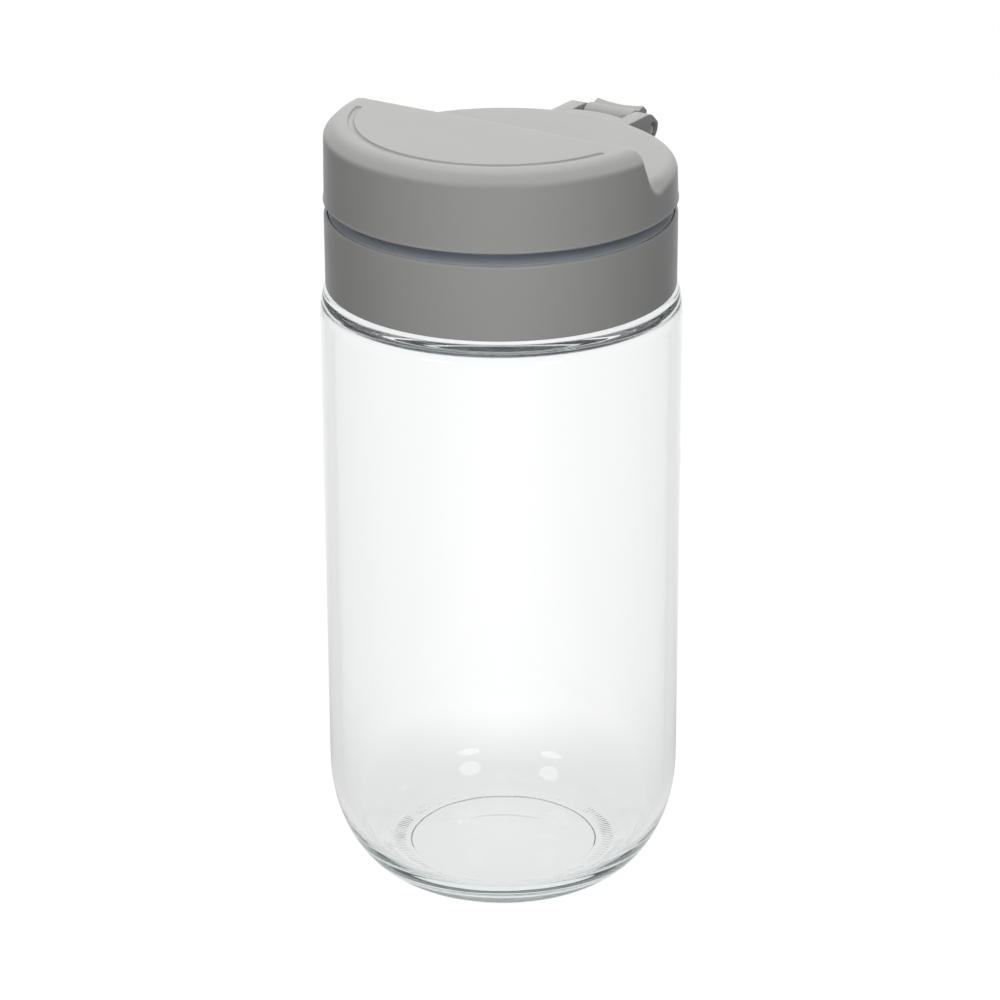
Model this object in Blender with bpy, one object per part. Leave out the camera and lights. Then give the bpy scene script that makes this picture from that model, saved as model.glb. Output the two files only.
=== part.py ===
"""Glass storage jar with a screw collar and a flip cover.

Metres, +Z up. The origin is on the jar's axis, on the surface that it stands on.
The hinge is at the back, on +Y, and its pin runs along X.
"""

import math

import bmesh
import bpy
from mathutils import Vector

MM = 0.001

# Clearances
SEAT_GAP = 0.3 * MM
PIN_FIT = 0.05 * MM
PIN_RUNNING_FIT = 0.1 * MM

# Glass jar
GLASS_RADIUS = 45.0 * MM
GLASS_WALL = 3.2 * MM
SHOULDER_Z = 159.3 * MM
SHOULDER_TAPER = 1.15 * MM
SHOULDER_TAPER_HEIGHT = 5.0 * MM
SHOULDER_TAPER_ROUND = 22.0 * MM
SHOULDER_ROUND = 1.6 * MM
INNER_SHOULDER_DROP = 4.0 * MM
NECK_HEIGHT = 15.6 * MM
NECK_WALL = 3.2 * MM
NECK_ROOT_ROUND = 1.2 * MM
LIP_ROUND = 1.2 * MM
BASE_RADIUS = 25.2 * MM
BASE_CURVE_HEIGHT = 29.8 * MM
BEARING_WIDTH = 2.0 * MM
PUNT_HEIGHT = 1.5 * MM
PUNT_SLOPE = 4.5 * MM
FLOOR_THICKNESS = 10.0 * MM
FLOOR_CURVE_WIDTH = 17.5 * MM
FLOOR_CURVE_HEIGHT = 24.0 * MM

# Screw collar, an outer shell round a threaded liner
COLLAR_STEP_IN = 1.5 * MM
COLLAR_GAP = 0.4 * MM
COLLAR_WALL = 2.0 * MM
COLLAR_EDGE_WALL = 0.8 * MM
COLLAR_TOP_ROUND = 0.6 * MM
COLLAR_BOTTOM_ROUND = 0.4 * MM
LINER_WALL = 1.7 * MM
LINER_TOP_THICKNESS = 1.5 * MM
THREAD_ROOM = 2.0 * MM
GASKET_THICKNESS = 1.6 * MM
GASKET_INSET = 0.6 * MM
MOUTH_INSET = 1.3 * MM
MOUTH_WALL = 1.5 * MM
MOUTH_HEIGHT = 4.0 * MM

# Flip cover
COVER_OVERHANG = 0.1 * MM
COVER_GAP = 3.0 * MM
COVER_WALL = 2.0 * MM
COVER_UPPER_WALL = 2.8 * MM
COVER_BACK_HEIGHT = 9.8 * MM
COVER_STEP_HEIGHT = 9.8 * MM
COVER_FRONT_ROUND = 5.9 * MM
COVER_INNER_ROUND = 4.9 * MM
COVER_BACK_ROUND = 2.5 * MM
COVER_LIP_ROUND = 0.3 * MM
STEP_Y = -2.1 * MM
STEP_ANGLE = math.radians(65)
STEP_TOP_ROUND = 3.0 * MM
STEP_LEAST_ROUND = 1.0 * MM
STEP_FOOT_ROUND = 4.0 * MM
GROOVE_RADIUS = 36.4 * MM
GROOVE_WIDTH = 1.1 * MM
GROOVE_DEPTH = 0.4 * MM
GROOVE_HALF_ANGLE = math.radians(73.5)

# Cover liner and its seal
LINER_CLEARANCE = 1.6 * MM
COVER_LINER_THICKNESS = 1.6 * MM
PLUG_WALL = 1.5 * MM
SEAL_WIDTH = 2.4 * MM
SEAL_HEIGHT = 2.2 * MM
SEAL_FLANGE = 0.9 * MM
SEAL_LEDGE = 0.8 * MM

# Hinge
PIN_RADIUS = 1.6 * MM
PIN_REACH = 9.4 * MM
PIN_DROP = 4.75 * MM
PIN_RECESS = 0.3 * MM
PIN_DOME = 0.35 * MM
HINGE_HALF_WIDTH = 11.65 * MM
EAR_WIDTH = 4.3 * MM
EAR_DROP = 0.55 * MM
EAR_SIDE_GAP = 0.45 * MM
EAR_SLANT_START = 0.2 * MM
EAR_SLANT_END = math.radians(10)
KNUCKLE_RADIUS = 3.7 * MM
KNUCKLE_OFFSET = 0.9 * MM
BRIDGE_REACH = 3.0 * MM
BRIDGE_THICKNESS = 2.2 * MM
ARM_TOP_DROP = 1.8 * MM
ARM_ROOT_HEIGHT = 12.0 * MM
TAB_RISE = 4.9 * MM
TAB_REACH = 5.4 * MM
TAB_THICKNESS = 1.5 * MM
TAB_DIP = 1.0 * MM

# Sizes that follow from the ones above
RIM_Z = SHOULDER_Z + NECK_HEIGHT
GASKET_Z = RIM_Z + SEAT_GAP
LINER_TOP_UNDERSIDE = GASKET_Z + GASKET_THICKNESS + SEAT_GAP
COLLAR_TOP = LINER_TOP_UNDERSIDE + LINER_TOP_THICKNESS
COLLAR_BOTTOM = SHOULDER_Z + COLLAR_GAP
COLLAR_RADIUS = GLASS_RADIUS - COLLAR_STEP_IN
LINER_RADIUS = COLLAR_RADIUS - COLLAR_WALL - SEAT_GAP
LINER_BORE = LINER_RADIUS - LINER_WALL
NECK_RADIUS = LINER_BORE - THREAD_ROOM
NECK_BORE = NECK_RADIUS - NECK_WALL
MOUTH_RADIUS = NECK_BORE - MOUTH_INSET
MOUTH_Z = COLLAR_TOP + MOUTH_HEIGHT
COVER_RADIUS = COLLAR_RADIUS + COVER_OVERHANG
LIP_Z = COLLAR_TOP + COVER_GAP
BACK_Z = LIP_Z + COVER_BACK_HEIGHT
FRONT_Z = BACK_Z + COVER_STEP_HEIGHT
COVER_LINER_Z = MOUTH_Z + LINER_CLEARANCE
LEDGE_Z = COVER_LINER_Z + COVER_LINER_THICKNESS + SEAT_GAP
SEAL_RADIUS = MOUTH_RADIUS - SEAT_GAP
SEAL_BORE = SEAL_RADIUS - SEAL_WIDTH
PLUG_RADIUS = SEAL_BORE - SEAT_GAP
PIN_Y = COVER_RADIUS + PIN_REACH
EAR_TOP = BACK_Z - EAR_DROP
PIN_Z = EAR_TOP - PIN_DROP
KNUCKLE_Y = PIN_Y - KNUCKLE_OFFSET
KNUCKLE_Z = EAR_TOP - KNUCKLE_RADIUS
EAR_INNER_X = HINGE_HALF_WIDTH - EAR_WIDTH
KNUCKLE_HALF_WIDTH = EAR_INNER_X - EAR_SIDE_GAP

# Facets
TURNED_SEGMENTS = 56
HIDDEN_SEGMENTS = 44
STEP_STATIONS = 10
RIM_STATIONS = 24
PIN_SEGMENTS = 24
ARC_STEP = math.radians(22.5)


def clear_scene():
    for obj in list(bpy.data.objects):
        bpy.data.objects.remove(obj, do_unlink=True)


def make_material(name, colour, roughness, metallic=0.0, transmission=0.0):
    """A Principled material. The colour is linear RGB."""
    material = bpy.data.materials.new(name)
    material.use_nodes = True
    shader = material.node_tree.nodes["Principled BSDF"]
    shader.inputs["Base Color"].default_value = (*colour, 1.0)
    shader.inputs["Roughness"].default_value = roughness
    shader.inputs["Metallic"].default_value = metallic
    shader.inputs["Transmission Weight"].default_value = transmission
    return material


def polar(centre, radius, angle):
    """The 2-D point at this angle round a centre."""
    return (centre[0] + radius * math.cos(angle), centre[1] + radius * math.sin(angle))


def arc(centre, radius_across, radius_up, start, end, step=ARC_STEP):
    """Points along an ellipse's arc, both ends included."""
    count = max(2, math.ceil(abs(end - start) / step))
    points = []
    for index in range(count + 1):
        angle = start + (end - start) * index / count
        across = centre[0] + radius_across * math.cos(angle)
        up = centre[1] + radius_up * math.sin(angle)
        points.append((across, up))
    return points


def rounded(corners, step=ARC_STEP):
    """An open outline through (across, up, round) corners, each rounded by its own radius."""
    points = [corners[0][:2]]
    for before, corner, after in zip(corners, corners[1:], corners[2:]):
        points += corner_points(before, corner, after, step)
    points.append(corners[-1][:2])
    return points


def corner_points(before, corner, after, step):
    """The arc that rounds one corner, or the corner itself where its radius is 0."""
    point = Vector(corner[:2])
    if corner[2] == 0:
        return [corner[:2]]
    back = (Vector(before[:2]) - point).normalized()
    ahead = (Vector(after[:2]) - point).normalized()
    half = back.angle(ahead) / 2
    room = min((Vector(before[:2]) - point).length, (Vector(after[:2]) - point).length)
    radius = min(corner[2], 0.98 * room * math.tan(half))
    centre = point + (back + ahead).normalized() * radius / math.sin(half)
    first = point + back * radius / math.tan(half) - centre
    last = point + ahead * radius / math.tan(half) - centre
    start = math.atan2(first.y, first.x)
    turn = math.atan2(first.x * last.y - first.y * last.x, first.dot(last))
    return arc(centre, radius, radius, start, start + turn, step)


def add_object(name, mesh, material):
    """A smooth-shaded object, linked to the scene."""
    obj = bpy.data.objects.new(name, mesh)
    bpy.context.scene.collection.objects.link(obj)
    if material:
        mesh.materials.append(material)
    mesh.shade_smooth()
    mesh.set_sharp_from_angle(angle=math.radians(35))
    return obj


def finish_mesh(name, bm):
    bmesh.ops.recalc_face_normals(bm, faces=bm.faces)
    mesh = bpy.data.meshes.new(name)
    bm.to_mesh(mesh)
    bm.free()
    return mesh


def make_ring(bm, radius, height, segments):
    """A ring of vertices round Z, or one vertex where the radius is 0."""
    if radius == 0:
        return [bm.verts.new((0, 0, height))]
    ring = []
    for index in range(segments):
        angle = math.tau * index / segments
        ring.append(bm.verts.new((radius * math.cos(angle), radius * math.sin(angle), height)))
    return ring


def join_rings(bm, first, second):
    """Faces between two closed rings. Either may be a single point."""
    count = max(len(first), len(second))
    for index in range(count):
        after = (index + 1) % count
        if len(first) == 1:
            bm.faces.new((first[0], second[index], second[after]))
        elif len(second) == 1:
            bm.faces.new((first[index], first[after], second[0]))
        else:
            bm.faces.new((first[index], first[after], second[after], second[index]))


def turn_solid(name, outline, material, segments=TURNED_SEGMENTS):
    """A solid turned round Z from (radius, height) points. The outline closes on itself or on the axis."""
    bm = bmesh.new()
    rings = [make_ring(bm, radius, height, segments) for radius, height in outline]
    for first, second in zip(rings, rings[1:]):
        join_rings(bm, first, second)
    if outline[0][0] > 0:
        join_rings(bm, rings[-1], rings[0])
    return add_object(name, finish_mesh(name, bm), material)


def loft_along_x(name, sections, material):
    """A solid through closed (y, z) outlines at (x, outline) stations, all with as many points."""
    bm = bmesh.new()
    loops = []
    for x, outline in sections:
        loops.append([bm.verts.new((x, y, z)) for y, z in outline])
    for first, second in zip(loops, loops[1:]):
        join_rings(bm, first, second)
    bm.faces.new(loops[0])
    bm.faces.new(loops[-1])
    return add_object(name, finish_mesh(name, bm), material)


def make_cylinder_along_x(name, y, z, radius, half_length, material=None):
    circle = [polar((y, z), radius, math.tau * index / PIN_SEGMENTS) for index in range(PIN_SEGMENTS)]
    return loft_along_x(name, [(-half_length, circle), (half_length, circle)], material)


def apply_tool(target, tool, operation):
    """A Boolean by a helper object that stays out of the render."""
    tool.hide_render = True
    tool.display_type = "WIRE"
    modifier = target.modifiers.new(tool.name, "BOOLEAN")
    modifier.operation = operation
    modifier.solver = "EXACT"
    modifier.object = tool


# Glass jar


def jar_outline():
    """Down the outside, from the rim to the middle of the punt."""
    outer = rounded([
        (NECK_RADIUS - NECK_WALL / 2, RIM_Z, 0),
        (NECK_RADIUS, RIM_Z, LIP_ROUND),
        (NECK_RADIUS, SHOULDER_Z, NECK_ROOT_ROUND),
        (GLASS_RADIUS - SHOULDER_TAPER, SHOULDER_Z, SHOULDER_ROUND),
        (GLASS_RADIUS, SHOULDER_Z - SHOULDER_TAPER_HEIGHT, SHOULDER_TAPER_ROUND),
        (GLASS_RADIUS, BASE_CURVE_HEIGHT + GLASS_WALL, 0),
    ])
    heel = arc(
        (BASE_RADIUS, BASE_CURVE_HEIGHT),
        GLASS_RADIUS - BASE_RADIUS,
        BASE_CURVE_HEIGHT,
        0,
        -math.pi / 2,
        math.radians(10),
    )
    bearing = BASE_RADIUS - BEARING_WIDTH
    punt = [(bearing, 0), (bearing - PUNT_SLOPE, PUNT_HEIGHT), (0, PUNT_HEIGHT)]
    return outer[:-1] + heel + punt


def jar_cavity_outline():
    """Up the inside, from the middle of the floor to the rim."""
    inner_radius = GLASS_RADIUS - GLASS_WALL
    floor_centre = (inner_radius - FLOOR_CURVE_WIDTH, FLOOR_THICKNESS + FLOOR_CURVE_HEIGHT)
    floor = arc(
        floor_centre,
        FLOOR_CURVE_WIDTH,
        FLOOR_CURVE_HEIGHT,
        -math.pi / 2,
        0,
        math.radians(11.25),
    )
    wall = rounded([
        (inner_radius, floor_centre[1], 0),
        (inner_radius, SHOULDER_Z - INNER_SHOULDER_DROP, 4.5 * MM),
        (NECK_BORE, SHOULDER_Z - INNER_SHOULDER_DROP, 2.5 * MM),
        (NECK_BORE, RIM_Z, LIP_ROUND),
        (NECK_RADIUS - NECK_WALL / 2, RIM_Z, 0),
    ])
    return [(0, FLOOR_THICKNESS)] + floor + wall[1:-1]


def make_glass_jar(glass):
    return turn_solid("glass_jar", jar_cavity_outline() + jar_outline(), glass)


# Collar


def make_jar_gasket(silicone):
    outer = NECK_RADIUS + GASKET_INSET
    inner = NECK_BORE + GASKET_INSET
    top = GASKET_Z + GASKET_THICKNESS
    outline = [(outer, GASKET_Z), (inner, GASKET_Z), (inner, top), (outer, top)]
    return turn_solid("jar_gasket", outline, silicone, HIDDEN_SEGMENTS)


def make_collar_liner(liner_plastic):
    """Threaded skirt, flat top that closes on the gasket, and the upright wall round the mouth."""
    flange = COLLAR_RADIUS - COLLAR_EDGE_WALL - SEAT_GAP
    outside = rounded([
        (LINER_BORE, COLLAR_BOTTOM + LINER_WALL, 0),
        (LINER_RADIUS, COLLAR_BOTTOM + LINER_WALL, 0),
        (LINER_RADIUS, LINER_TOP_UNDERSIDE, 0),
        (flange, LINER_TOP_UNDERSIDE, 0),
        (flange, COLLAR_TOP, 0),
        (MOUTH_RADIUS + MOUTH_WALL, COLLAR_TOP, 0.8 * MM),
        (MOUTH_RADIUS + MOUTH_WALL, MOUTH_Z, 0.7 * MM),
        (MOUTH_RADIUS, MOUTH_Z, 0.7 * MM),
        (MOUTH_RADIUS, LINER_TOP_UNDERSIDE, 0),
        (LINER_BORE, LINER_TOP_UNDERSIDE, 0),
    ])
    return turn_solid("collar_liner", outside, liner_plastic, HIDDEN_SEGMENTS)


def collar_outline():
    inner = COLLAR_RADIUS - COLLAR_WALL
    edge = COLLAR_RADIUS - COLLAR_EDGE_WALL
    seat = LINER_TOP_UNDERSIDE - SEAT_GAP
    return rounded([
        (inner, seat, 0),
        (inner, COLLAR_BOTTOM, 0),
        (COLLAR_RADIUS, COLLAR_BOTTOM, COLLAR_BOTTOM_ROUND),
        (COLLAR_RADIUS, COLLAR_TOP, COLLAR_TOP_ROUND),
        (edge, COLLAR_TOP, 0),
        (edge, seat, 0),
    ])


def bracket_outline():
    """Side view of the hinge bracket: arm, knuckle round the pin, and the stop tab behind it."""
    root = COLLAR_RADIUS - COLLAR_WALL / 2
    arm_top = COLLAR_TOP - ARM_TOP_DROP
    centre = (KNUCKLE_Y, KNUCKLE_Z)
    front_x = KNUCKLE_Y - KNUCKLE_RADIUS
    rise = rounded([
        (root, arm_top, 0),
        (front_x + 0.4 * MM, arm_top, 2.5 * MM),
        (front_x, KNUCKLE_Z, 0),
    ])
    crown = arc(centre, KNUCKLE_RADIUS, KNUCKLE_RADIUS, math.pi * 0.94, math.pi * 0.42)
    tip = (PIN_Y + TAB_REACH, PIN_Z + TAB_RISE)
    tab = rounded([
        (KNUCKLE_Y + 0.55 * KNUCKLE_RADIUS, KNUCKLE_Z + 0.84 * KNUCKLE_RADIUS, 0),
        (tip[0] - 2.0 * MM, tip[1], 0.5 * MM),
        (tip[0], tip[1] - 1.7 * MM, 0.6 * MM),
        (tip[0] - 0.6 * MM, tip[1] - 1.7 * MM - TAB_THICKNESS, 0.4 * MM),
        (KNUCKLE_Y + KNUCKLE_RADIUS, KNUCKLE_Z, 0),
    ])
    back = rounded([
        (KNUCKLE_Y + 0.97 * KNUCKLE_RADIUS, KNUCKLE_Z - 0.25 * KNUCKLE_RADIUS, 0),
        (KNUCKLE_Y + 0.9 * KNUCKLE_RADIUS, arm_top, 6 * MM),
        (COLLAR_RADIUS + 0.6 * MM, arm_top - ARM_ROOT_HEIGHT, 0.8 * MM),
        (root, arm_top - ARM_ROOT_HEIGHT, 0),
    ])
    return rise + crown + tab + back


def dip_tab(outline, dip):
    """The bracket's outline with the tab's tip lowered."""
    dipped = []
    for y, z in outline:
        share = (y - KNUCKLE_Y) / (TAB_REACH + KNUCKLE_OFFSET)
        if share > 0 and z > KNUCKLE_Z:
            z -= dip * share
        dipped.append((y, z))
    return dipped


def make_collar_shell(grey):
    """Turned ring with the hinge's bracket, whose tab is lowest halfway along."""
    shell = turn_solid("collar_shell", collar_outline(), grey)
    outline = bracket_outline()
    stations = 7
    sections = []
    for index in range(stations):
        share = 2 * index / (stations - 1) - 1
        sections.append((share * KNUCKLE_HALF_WIDTH, dip_tab(outline, TAB_DIP * (1 - share**2))))
    apply_tool(shell, loft_along_x("bracket_form", sections, None), "UNION")
    hole = make_cylinder_along_x(
        "knuckle_hole", PIN_Y, PIN_Z, PIN_RADIUS + PIN_RUNNING_FIT, HINGE_HALF_WIDTH
    )
    apply_tool(shell, hole, "DIFFERENCE")
    return shell


# Flip cover


def step_point(index, depth):
    """A point (y, z) on the S between raised front and low back, taken at a depth under the surface."""
    half_turn = math.tan(STEP_ANGLE / 2)
    corner = STEP_Y - depth * half_turn
    foot = corner + COVER_STEP_HEIGHT / math.tan(STEP_ANGLE)
    top_round = max(STEP_TOP_ROUND - depth, STEP_LEAST_ROUND)
    foot_round = STEP_FOOT_ROUND + depth
    if index < STEP_STATIONS / 2:
        angle = STEP_ANGLE * index / (STEP_STATIONS / 2 - 1)
        y = corner - top_round * (half_turn - math.sin(angle))
        return y, FRONT_Z - depth - top_round * (1 - math.cos(angle))
    angle = STEP_ANGLE * (STEP_STATIONS - 1 - index) / (STEP_STATIONS / 2 - 1)
    y = foot + foot_round * (half_turn - math.sin(angle))
    return y, BACK_Z - depth + foot_round * (1 - math.cos(angle))


def rim_ring(radius, inset, front_round, turn):
    """One ring of points on the rim's round, turned from the top (0) down to the wall (a quarter)."""

    def reach_and_depth(full_round):
        size = full_round - inset
        return radius - size * (1 - math.sin(turn)), inset + size * (1 - math.cos(turn))

    reach, depth = reach_and_depth(front_round)
    right = []
    for index in range(STEP_STATIONS):
        y, z = step_point(index, depth)
        right.append((math.sqrt(reach**2 - y**2), y, z))
    left = [(-x, y, z) for x, y, z in reversed(right)]
    back_start = math.asin(right[-1][1] / reach)
    front_start = math.asin(-right[0][1] / reach)
    front = []
    back = []
    for index in range(1, RIM_STATIONS):
        share = index / RIM_STATIONS
        angle = math.pi + front_start + (math.pi - 2 * front_start) * share
        front.append((reach * math.cos(angle), reach * math.sin(angle), FRONT_Z - depth))
    for index in range(1, RIM_STATIONS):
        share = index / RIM_STATIONS
        ease = math.sin(math.pi * share) ** 0.3
        reach, depth = reach_and_depth(front_round + (COVER_BACK_ROUND - front_round) * ease)
        angle = back_start + (math.pi - 2 * back_start) * share
        back.append((reach * math.cos(angle), reach * math.sin(angle), BACK_Z - depth))
    return right + back + left + front


def make_cover_face(bm, radius, inset, front_round, wall_foot):
    """One side of the cover's skin: its top with the step, a rounded rim and the wall. Returns the open ring."""
    steps = 4
    rings = []
    for index in range(steps + 1):
        points = rim_ring(radius, inset, front_round, math.pi / 2 * index / steps)
        rings.append([bm.verts.new(point) for point in points])
    fill_top(bm, rings[0])
    for reach, height in wall_foot:
        scale = reach / radius
        rings.append([bm.verts.new((x * scale, y * scale, height)) for x, y, _ in points])
    for first, second in zip(rings, rings[1:]):
        join_rings(bm, first, second)
    return rings[-1]


def fill_top(bm, ring):
    """Strips across the step between its stations, and a flat face before and behind it."""
    half = STEP_STATIONS + RIM_STATIONS - 1
    right = ring[:STEP_STATIONS]
    back = ring[STEP_STATIONS:half]
    left = ring[half:half + STEP_STATIONS][::-1]
    front = ring[half + STEP_STATIONS:]
    for index in range(STEP_STATIONS - 1):
        bm.faces.new((right[index], right[index + 1], left[index + 1], left[index]))
    bm.faces.new([right[-1]] + back + [left[-1]])
    bm.faces.new([left[0]] + front + [right[0]])


def make_cover_skin(grey):
    bm = bmesh.new()
    inner = COVER_RADIUS - COVER_WALL
    upper = COVER_RADIUS - COVER_UPPER_WALL
    lip = COVER_LIP_ROUND
    outside = make_cover_face(
        bm,
        COVER_RADIUS,
        0,
        COVER_FRONT_ROUND,
        [(COVER_RADIUS, LIP_Z + lip), (COVER_RADIUS - lip, LIP_Z)],
    )
    inside = make_cover_face(
        bm,
        upper,
        COVER_WALL,
        COVER_INNER_ROUND,
        [(upper, LEDGE_Z), (inner, LEDGE_Z), (inner, LIP_Z)],
    )
    join_rings(bm, outside, inside)
    return add_object("cover_shell", finish_mesh("cover_shell", bm), grey)


def ear_outline():
    """Side view of an ear: flush with the low back, into the wall, and round the pin."""
    top = EAR_TOP
    wall_mid = COVER_RADIUS - COVER_WALL / 2
    mid_x = HINGE_HALF_WIDTH - EAR_WIDTH / 2
    root = math.sqrt(wall_mid**2 - mid_x**2)
    sill = LIP_Z + 0.8 * MM
    slanted = rounded([
        (KNUCKLE_Y - KNUCKLE_RADIUS, top, 0),
        (KNUCKLE_Y + EAR_SLANT_START, top, 1.5 * MM),
        polar((KNUCKLE_Y, KNUCKLE_Z), KNUCKLE_RADIUS, EAR_SLANT_END),
    ])
    end = arc(
        (KNUCKLE_Y, KNUCKLE_Z), KNUCKLE_RADIUS, KNUCKLE_RADIUS, EAR_SLANT_END, -math.pi / 2
    )
    top_root = root - 3.2 * MM
    return [(top_root, top - 0.7 * MM), (top_root, top)] + slanted[1:-1] + end + [
        (root, sill),
        (root, top - COVER_WALL - 0.9 * MM),
    ]


def bridge_outline():
    """Side view of the lip of the low back that reaches out between the ears."""
    top = EAR_TOP
    edge = COVER_RADIUS + BRIDGE_REACH
    under = top - BRIDGE_THICKNESS
    root = COVER_RADIUS - 1.5 * MM
    return rounded([
        (root - 2.5 * MM, top - 0.9 * MM, 0),
        (root - 2.5 * MM, top, 0),
        (edge, top, 0.4 * MM),
        (edge, under, 0.3 * MM),
        (root, under, 0),
        (root - 0.5 * MM, under + 0.5 * MM, 0),
    ])


def make_groove_tool():
    """A bent bar with round ends, sunk into the raised top."""
    half = GROOVE_WIDTH / 2
    start = -math.pi / 2 - GROOVE_HALF_ANGLE
    end = -math.pi / 2 + GROOVE_HALF_ANGLE
    step = math.radians(5)
    outer = arc((0, 0), GROOVE_RADIUS + half, GROOVE_RADIUS + half, start, end, step)
    inner = arc((0, 0), GROOVE_RADIUS - half, GROOVE_RADIUS - half, end, start, step)
    end_cap = arc(polar((0, 0), GROOVE_RADIUS, end), half, half, end, end + math.pi, math.radians(45))
    start_cap = arc(
        polar((0, 0), GROOVE_RADIUS, start), half, half, start + math.pi, start + math.tau, math.radians(45)
    )
    outline = outer + end_cap[1:-1] + inner + start_cap[1:-1]
    bm = bmesh.new()
    floor = [bm.verts.new((x, y, FRONT_Z - GROOVE_DEPTH)) for x, y in outline]
    lid = [bm.verts.new((x, y, FRONT_Z + GROOVE_DEPTH)) for x, y in outline]
    join_rings(bm, floor, lid)
    bm.faces.new(floor)
    bm.faces.new(lid)
    return add_object("groove_form", finish_mesh("groove_form", bm), None)


def make_cover_shell(grey):
    shell = make_cover_skin(grey)
    ear = ear_outline()
    for side in (-1, 1):
        sections = [(side * EAR_INNER_X, ear), (side * HINGE_HALF_WIDTH, ear)]
        apply_tool(shell, loft_along_x(f"ear_form_{side:+d}", sections, None), "UNION")
    bridge = bridge_outline()
    reach = EAR_INNER_X + EAR_WIDTH / 2
    apply_tool(shell, loft_along_x("bridge_form", [(-reach, bridge), (reach, bridge)], None), "UNION")
    hole = make_cylinder_along_x(
        "ear_hole", PIN_Y, PIN_Z, PIN_RADIUS + PIN_FIT, HINGE_HALF_WIDTH + EAR_WIDTH
    )
    apply_tool(shell, hole, "DIFFERENCE")
    apply_tool(shell, make_groove_tool(), "DIFFERENCE")
    return shell


def make_cover_liner(liner_plastic):
    """Disc that closes the cover from below, with the plug that carries the seal."""
    edge = COVER_RADIUS - COVER_WALL - SEAT_GAP
    top = COVER_LINER_Z + COVER_LINER_THICKNESS
    seal_top = COVER_LINER_Z - SEAL_FLANGE
    seal_bottom = seal_top - SEAL_HEIGHT - 2 * SEAT_GAP
    flange = PLUG_RADIUS + SEAL_LEDGE
    outline = [
        (0, top),
        (edge, top),
        (edge, COVER_LINER_Z),
        (flange, COVER_LINER_Z),
        (flange, seal_top),
        (PLUG_RADIUS, seal_top),
        (PLUG_RADIUS, seal_bottom),
        (flange, seal_bottom),
        (flange, seal_bottom - SEAL_LEDGE),
        (PLUG_RADIUS - PLUG_WALL, seal_bottom - SEAL_LEDGE),
        (PLUG_RADIUS - PLUG_WALL, COVER_LINER_Z),
        (0, COVER_LINER_Z),
    ]
    return turn_solid("cover_liner", outline, liner_plastic, HIDDEN_SEGMENTS)


def make_cover_seal(silicone):
    top = COVER_LINER_Z - SEAL_FLANGE - SEAT_GAP
    bottom = top - SEAL_HEIGHT
    outline = rounded([
        (SEAL_BORE, top, 0),
        (SEAL_RADIUS - 0.6 * MM, top, 0),
        (SEAL_RADIUS, (top + bottom) / 2, 0.8 * MM),
        (SEAL_RADIUS - 0.6 * MM, bottom, 0),
        (SEAL_BORE, bottom, 0),
    ])
    return turn_solid("cover_seal", outline, silicone, HIDDEN_SEGMENTS)


def make_hinge_pin(steel):
    """Steel pin through both ears and the knuckle, its ends slightly domed and sunk."""
    half = HINGE_HALF_WIDTH - PIN_RECESS
    sections = []
    for x, radius in (
        (-half, PIN_RADIUS - PIN_DOME),
        (-half + PIN_DOME, PIN_RADIUS),
        (half - PIN_DOME, PIN_RADIUS),
        (half, PIN_RADIUS - PIN_DOME),
    ):
        circle = [polar((PIN_Y, PIN_Z), radius, math.tau * index / PIN_SEGMENTS) for index in range(PIN_SEGMENTS)]
        sections.append((x, circle))
    return loft_along_x("hinge_pin", sections, steel)


def hang_on_hinge(pieces):
    """Moves the pieces' origins onto the pin's axis, under one empty."""
    pivot = bpy.data.objects.new("cover_pivot", None)
    bpy.context.scene.collection.objects.link(pivot)
    pivot.location = (0, PIN_Y, PIN_Z)
    for piece in pieces:
        for vertex in piece.data.vertices:
            vertex.co.y -= PIN_Y
            vertex.co.z -= PIN_Z
        piece.parent = pivot


def main():
    clear_scene()
    glass = make_material("clear_glass", (0.93, 0.97, 0.96), 0.02, transmission=1.0)
    grey = make_material("grey_polypropylene", (0.36, 0.36, 0.35), 0.42)
    liner_plastic = make_material("natural_polypropylene", (0.52, 0.56, 0.62), 0.4)
    silicone = make_material("clear_silicone", (0.62, 0.65, 0.68), 0.5)
    steel = make_material("stainless_steel", (0.6, 0.6, 0.6), 0.2, metallic=1.0)
    make_glass_jar(glass)
    make_jar_gasket(silicone)
    make_collar_shell(grey)
    make_collar_liner(liner_plastic)
    hang_on_hinge([
        make_cover_shell(grey),
        make_cover_liner(liner_plastic),
        make_cover_seal(silicone),
        make_hinge_pin(steel),
    ])


main()
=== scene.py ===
import math

import bmesh
import bpy
from mathutils import Matrix, Vector


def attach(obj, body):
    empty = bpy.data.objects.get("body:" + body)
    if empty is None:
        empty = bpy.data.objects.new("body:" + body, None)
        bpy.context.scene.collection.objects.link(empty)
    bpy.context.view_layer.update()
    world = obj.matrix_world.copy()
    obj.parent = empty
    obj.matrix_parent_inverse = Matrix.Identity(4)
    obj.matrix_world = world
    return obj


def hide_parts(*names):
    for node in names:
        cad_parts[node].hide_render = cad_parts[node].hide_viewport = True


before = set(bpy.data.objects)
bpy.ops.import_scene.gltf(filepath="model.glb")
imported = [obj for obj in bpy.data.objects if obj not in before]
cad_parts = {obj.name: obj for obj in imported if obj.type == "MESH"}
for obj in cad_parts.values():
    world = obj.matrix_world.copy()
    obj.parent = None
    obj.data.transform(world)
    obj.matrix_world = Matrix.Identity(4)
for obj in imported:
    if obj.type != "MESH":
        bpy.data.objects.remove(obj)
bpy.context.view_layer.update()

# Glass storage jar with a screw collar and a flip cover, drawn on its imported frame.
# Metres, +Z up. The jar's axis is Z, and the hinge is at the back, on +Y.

MM = 0.001

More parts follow.
